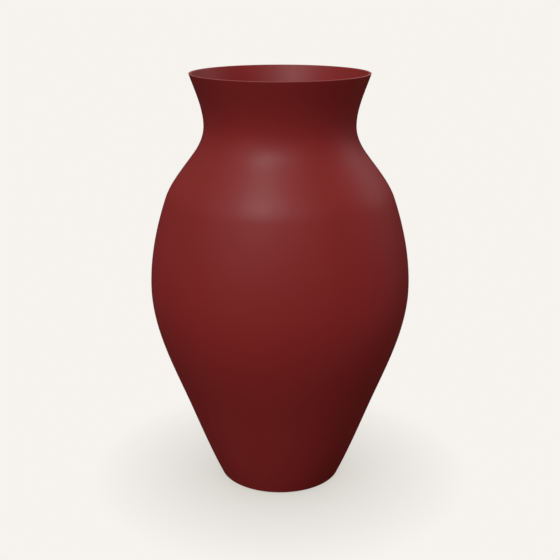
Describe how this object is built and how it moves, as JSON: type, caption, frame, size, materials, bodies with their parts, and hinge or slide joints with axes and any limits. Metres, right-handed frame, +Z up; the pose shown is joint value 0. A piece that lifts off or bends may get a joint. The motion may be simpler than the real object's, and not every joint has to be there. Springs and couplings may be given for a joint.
{
  "type": "amphora vase",
  "caption": "Tall amphora-shaped stoneware vase without handles: tapered foot, swelling body, sloped shoulder and a short flared neck with a thin flat lip, in satin dark red glaze.",
  "frame": {"origin": "centre of the foot ring's resting face, on the vase's axis", "axes": "+Z up along the vase's axis, from the foot to the mouth; the vase is the same all round, so +X and +Y are free"},
  "size_m": [0.225, 0.225, 0.36],
  "materials": {
    "red_glaze": "satin glaze, dark iron red, slightly paler where it thins over the lip's edge",
    "bare_clay": "unglazed fired clay, fine turned rings, matt"
  },
  "bodies": {
    "root": {"foot_ring": "bare_clay", "lower_body": "red_glaze", "belly_seam_coil": "red_glaze", "upper_body": "red_glaze", "neck_seam_coil": "red_glaze", "neck_and_lip": "red_glaze"}
  },
  "joints": []
}
